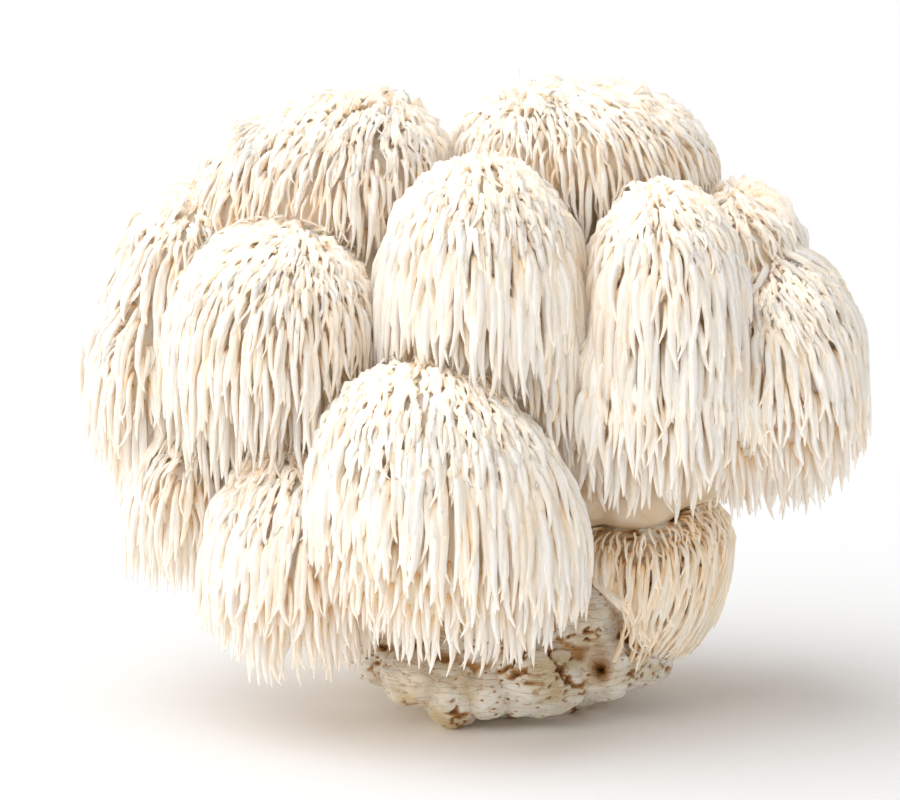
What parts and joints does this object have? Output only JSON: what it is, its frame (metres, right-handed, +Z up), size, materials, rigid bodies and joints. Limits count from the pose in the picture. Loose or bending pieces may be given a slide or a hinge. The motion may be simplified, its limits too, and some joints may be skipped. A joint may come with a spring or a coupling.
{
  "type": "lion's mane mushroom",
  "caption": "Lion's mane mushroom: a cluster of shaggy rounded heads thatched with hanging spines, on a bare lumpy foot that is cut off flat.",
  "frame": {"origin": "under the middle of the mushroom, in the plane of the flat cut that it stands on", "axes": "+X to the right seen from the front, -Y towards the front, where the great low head hangs, +Z up; the longest side lies along X"},
  "size_m": [0.1467, 0.1219, 0.1187],
  "materials": {
    "spines": "satin",
    "foot": "matte"
  },
  "bodies": {
    "root": {"fruiting_body": "spines"}
  },
  "joints": []
}
